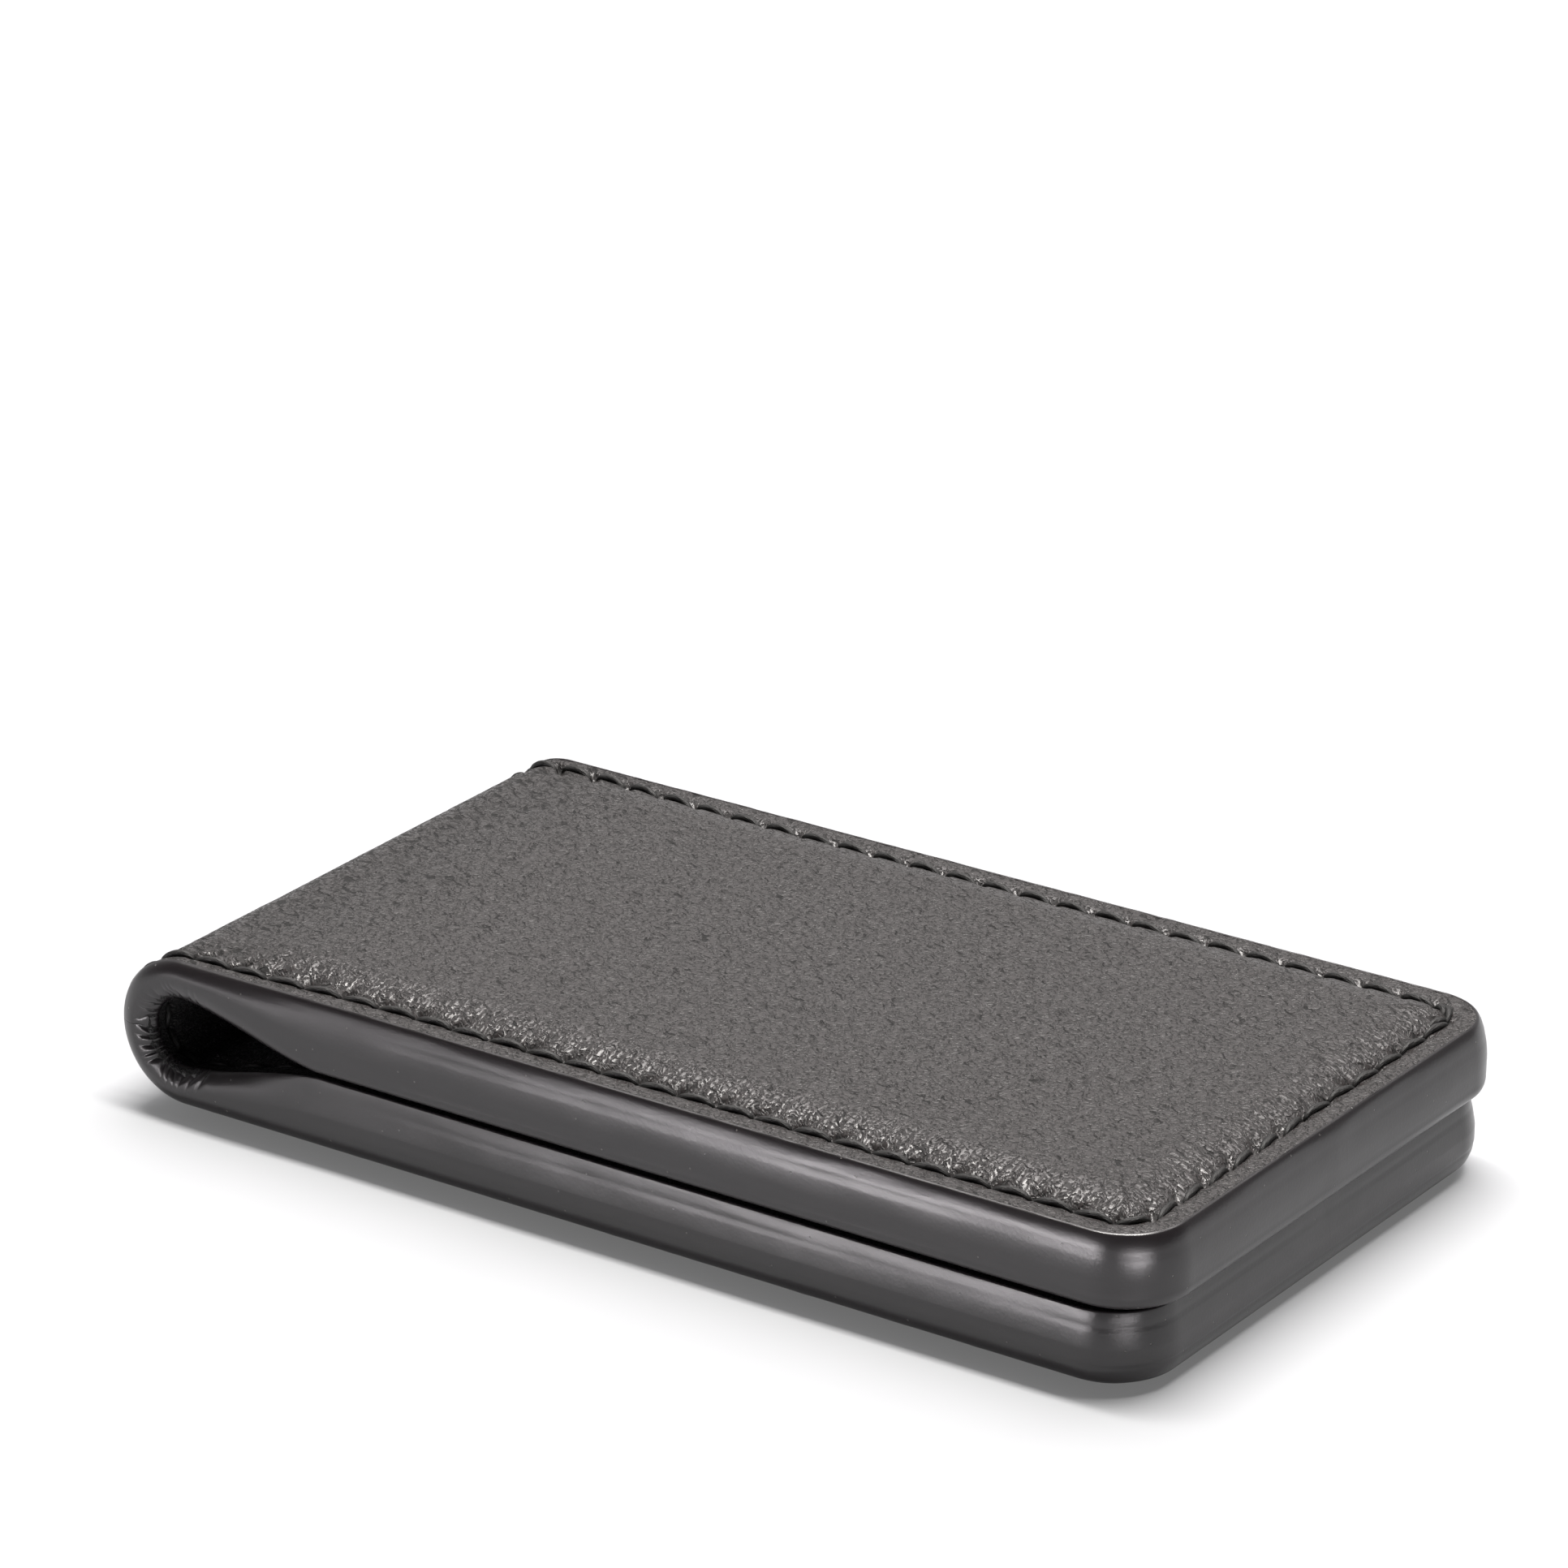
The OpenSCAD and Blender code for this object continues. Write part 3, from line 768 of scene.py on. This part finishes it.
def paint():
    """Satin edge paint, a little uneven from brushing, with orange peel and some dust."""
    material, tree, shader = new_material("edge_paint", Specular_IOR_Level=0.62)
    mm = uv_mm(tree, "flat")
    streaks = grain(tree, uv_mm(tree, "flat", (0.35, 2.2, 1)), 1.0, 3.0)
    orange_peel = grain(tree, mm, 5.0, 2.0)
    dust = ramp(tree, cells(tree, mm, 0.33), 0.012, 0.020, 1.0, 0.0)
    body = mix_colour(tree, streaks, (0.0072, 0.0058, 0.0066, 1), (0.012, 0.0098, 0.0108, 1))
    tree.links.new(mix_colour(tree, dust, body, (0.08, 0.075, 0.07, 1)), shader.inputs["Base Color"])
    tree.links.new(ramp(tree, streaks, 0.3, 0.7, 0.275, 0.290), shader.inputs["Roughness"])
    height = math_node(tree, "MULTIPLY", orange_peel, 0.22)
    surface_bump(tree, shader, math_node(tree, "ADD", height, dust), PAINT_RELIEF)
    return material


def thread():
    """Bonded black polyester: two plies with a fibre pattern along them."""
    material, tree, shader = new_material("thread", Roughness=0.55, Specular_IOR_Level=0.4)
    fibres = grain(tree, uv_mm(tree, "flat", (2.5, 9, 1), 0.6), 1.0, 3.0)
    tree.links.new(mix_colour(tree, fibres, (0.003, 0.003, 0.003, 1), (0.018, 0.017, 0.0165, 1)),
                   shader.inputs["Base Color"])
    surface_bump(tree, shader, fibres, 0.00005)
    return material


def woven(name, dark, light, per_mm):
    """A plain weave: two crossed waves."""
    material, tree, shader = new_material(name, Roughness=0.85)
    mm = uv_mm(tree, "flat")
    waves = [add(tree, "ShaderNodeTexWave", {"Vector": mm, "Scale": per_mm, "Distortion": 0.3},
                 bands_direction=way).outputs[1] for way in ("X", "Y")]
    weave = math_node(tree, "MAXIMUM", waves[0], waves[1])
    tree.links.new(mix_colour(tree, weave, dark, light), shader.inputs["Base Color"])
    surface_bump(tree, shader, weave, 0.00005)
    return material


def solid_material(name, dark, light, scale, distance, stretch=(1, 1, 1), **fixed):
    """Mottled material of a CAD piece, placed by the piece's own coordinates in metres."""
    material, tree, shader = new_material(name, **fixed)
    where = mapped(tree, add(tree, "ShaderNodeTexCoord").outputs["Object"], stretch)
    spots = add(tree, "ShaderNodeTexNoise", {"Vector": where, "Scale": scale, "Detail": 4.0}).outputs[0]
    tree.links.new(mix_colour(tree, spots, dark, light), shader.inputs["Base Color"])
    surface_bump(tree, shader, spots, distance)
    return material


def foam():
    material, tree, shader = new_material("foam", Roughness=0.95)
    bubbles = cells(tree, uv_mm(tree, "flat"), 3.0)
    tree.links.new(mix_colour(tree, bubbles, (0.16, 0.16, 0.15, 1), (0.42, 0.41, 0.38, 1)),
                   shader.inputs["Base Color"])
    surface_bump(tree, shader, bubbles, 0.0001)
    return material


# The table glows a little, so that shadows on it stay light
FLOOR_GLOW = 0.14


def floor_material():
    material, tree, shader = new_material("floor", Roughness=0.9, Specular_IOR_Level=0.2)
    where = add(tree, "ShaderNodeTexCoord").outputs["Object"]
    mottle = add(tree, "ShaderNodeTexNoise", {"Vector": where, "Scale": 60.0, "Detail": 2.0}).outputs[0]
    tree.links.new(mix_colour(tree, mottle, (0.365, 0.375, 0.39, 1), (0.385, 0.395, 0.41, 1)),
                   shader.inputs["Base Color"])
    shader.inputs["Emission Color"].default_value = (1, 1, 1, 1)
    shader.inputs["Emission Strength"].default_value = FLOOR_GLOW
    return material


OUTER = leather("outer_leather", (0.024, 0.0203, 0.0200, 1), (0.033, 0.0282, 0.0279, 1), 0.33, 0.55)
# The lining is darker than the outer leather: partly its own colour, partly painted shade for the inside of
# the fold's loop
LINING = leather("lining_leather", (0.009, 0.0085, 0.008, 1), (0.012, 0.0115, 0.011, 1), 0.55, 0.3)
PAINT = paint()
THREAD = thread()
FOAM = foam()
TAPE = woven("tape", (0.03, 0.03, 0.03, 1), (0.12, 0.12, 0.12, 1), 3.0)
BOARD = solid_material("leatherboard", (0.09, 0.055, 0.03, 1), (0.17, 0.11, 0.065, 1), 1800, 0.00003,
                       Roughness=0.85)
NICKEL = solid_material("nickel", (0.60, 0.58, 0.54, 1), (0.70, 0.68, 0.64, 1), 900, 0.000005,
                        (1, 1, 8), Metallic=1.0, Roughness=0.25)


# ---------------------------------------------------------------- the pieces

def across_fold(piece, half):
    """Bakes a piece's placement into its mesh, the same for both halves."""
    if half == "lower":
        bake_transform(piece)
    else:
        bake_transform(piece)


for half in ("lower", "upper"):
    skins = [
        (outer_cover(half), OUTER, "outer_leather", [half + "_outer_leather", "fold_outer_leather"]),
        (lining_skin(half), LINING, "lining_leather", [half + "_lining", "fold_lining"]),
        (edge_paint(half), PAINT, "edge_paint",
         [half + "_edge_coat", "fold_edge_coat_front", "fold_edge_coat_rear"]),
        (stitches(half, "outer"), THREAD, "thread", [half + "_needle_thread", "fold_needle_thread"]),
        (stitches(half, "inner"), THREAD, "thread", [half + "_bobbin_thread", "fold_bobbin_thread"]),
        (fold_tape(half), TAPE, "tape", ["fold_reinforcement"]),
    ]
    for piece, material, slot, nodes in skins:
        piece.data.materials.append(material)
        across_fold(piece, half)
        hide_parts(*nodes)
    pad = crowned_pad(half)
    pad.data.materials.append(FOAM)
    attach(pad, half + "_paddle")
    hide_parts(half + "_foam_pad")
    for node, material in ((half + "_stiffener_board", BOARD), (half + "_magnets", NICKEL)):
        cad_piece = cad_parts[node]
        cad_piece.data.materials.clear()
        cad_piece.data.materials.append(material)


# ---------------------------------------------------------------- floor, camera and light

def card(name, centre, aim, size, brightness, colour):
    """A softbox that faces a point, in metres; its brightness is its power over pi and its area."""
    lamp = bpy.data.lights.new(name, "AREA")
    lamp.shape = "RECTANGLE"
    lamp.size, lamp.size_y = size
    lamp.energy = brightness * math.pi * size[0] * size[1]
    lamp.color = colour
    holder = bpy.data.objects.new(name, lamp)
    bpy.context.scene.collection.objects.link(holder)
    holder.location = centre
    holder.rotation_mode = "QUATERNION"
    direction = [a - c for a, c in zip(aim, centre)]
    holder.rotation_quaternion = Vector(direction).to_track_quat("-Z", "Y")
    holder.visible_camera = False


FLOOR_HALF = 3.0
FLOOR_Z = -0.00003
floor_corners = [(a * FLOOR_HALF, b * FLOOR_HALF, FLOOR_Z) for a, b in ((-1, -1), (1, -1), (1, 1), (-1, 1))]
floor_mesh = bpy.data.meshes.new("floor")
floor_mesh.from_pydata(floor_corners, [], [(0, 1, 2, 3)])
floor = bpy.data.objects.new("floor", floor_mesh)
bpy.context.scene.collection.objects.link(floor)
floor_mesh.materials.append(floor_material())

CAMERA_AZIMUTH = math.radians(34.8)
CAMERA_ELEVATION = math.radians(22.25)
CAMERA_DISTANCE = 0.4494
CAMERA_LENS = 167.7
CAMERA_AIM = (-0.0237, 0.0316, 0.0051)
back_x = math.sin(CAMERA_AZIMUTH) * math.cos(CAMERA_ELEVATION)
back_y = -math.cos(CAMERA_AZIMUTH) * math.cos(CAMERA_ELEVATION)
back_z = math.sin(CAMERA_ELEVATION)
camera_data = bpy.data.cameras.new("camera")
camera_data.lens = CAMERA_LENS
camera_data.sensor_width = 36
camera_data.clip_start = 0.01
camera = bpy.data.objects.new("camera", camera_data)
bpy.context.scene.collection.objects.link(camera)
camera.location = [a + CAMERA_DISTANCE * b for a, b in zip(CAMERA_AIM, (back_x, back_y, back_z))]
camera.rotation_euler = (math.pi / 2 - CAMERA_ELEVATION, 0, CAMERA_AZIMUTH)
bpy.context.scene.camera = camera

# Behind the clip as the camera sees it, and to the camera's right
away = (-math.sin(CAMERA_AZIMUTH), math.cos(CAMERA_AZIMUTH))
right = (math.cos(CAMERA_AZIMUTH), math.sin(CAMERA_AZIMUTH))


def spot(back, aside, up):
    """A point given from the clip's middle, away from the camera, to its right, and up."""
    return (away[0] * back + right[0] * aside, away[1] * back + right[1] * aside, up)


middle = (0, 0, 0.005)
table_tint = (1.0, 0.95, 0.98)
card("key", (0.0, 0.09, 1.0), middle, (0.80, 0.09), 72, (1.0, 0.97, 0.93))
card("overhead", spot(0.36, 0.15, 0.95), middle, (1.0, 0.8), 4.6, (1.0, 0.955, 0.95))
card("backdrop", spot(1.2, -0.3, 0.42), middle, (1.8, 0.7), 0.06, (1.0, 0.96, 0.96))
# Two lit patches of the table, out of the picture, that shine in the painted edges
card("table_left", (-0.023, -0.148, 0.001), (-0.005, -0.101, 1), (0.100, 0.194), 34.0, table_tint)
card("table_right", (0.088, -0.064, 0.001), (0.088, -0.064, 1), (0.05, 0.05), 19.0, table_tint)
card("front_strip", spot(-0.337, -0.496, 0.03), middle, (0.53, 0.05), 4.0, table_tint)

world = bpy.data.worlds.new("studio")
bpy.context.scene.world = world
world.use_nodes = True
# White to the camera; to the clip, brighter behind it and low down in front of it
sky = world.node_tree
background = sky.nodes["Background"]
direction = add(sky, "ShaderNodeTexCoord").outputs["Generated"]
behind = add(sky, "ShaderNodeVectorMath", {0: direction, 1: (away[0], away[1], 0)}, operation="DOT_PRODUCT")
behind = ramp(sky, behind.outputs["Value"], 0.10, 0.60)
height = add(sky, "ShaderNodeSeparateXYZ", {0: direction}).outputs[2]
front_level = ramp(sky, height, 0.0, 0.06, 1.0, 0.06)
glow = add(sky, "ShaderNodeMix", {0: behind, 2: front_level, 3: 0.55}).outputs[0]
seen = add(sky, "ShaderNodeLightPath").outputs["Is Camera Ray"]
level = add(sky, "ShaderNodeMix", {0: seen, 2: glow, 3: 1.0}).outputs[0]
sky.links.new(level, background.inputs["Strength"])
background.inputs["Color"].default_value = (1, 1, 1, 1)

bpy.context.scene.view_settings.view_transform = "Standard"
bpy.context.scene.view_settings.look = "None"
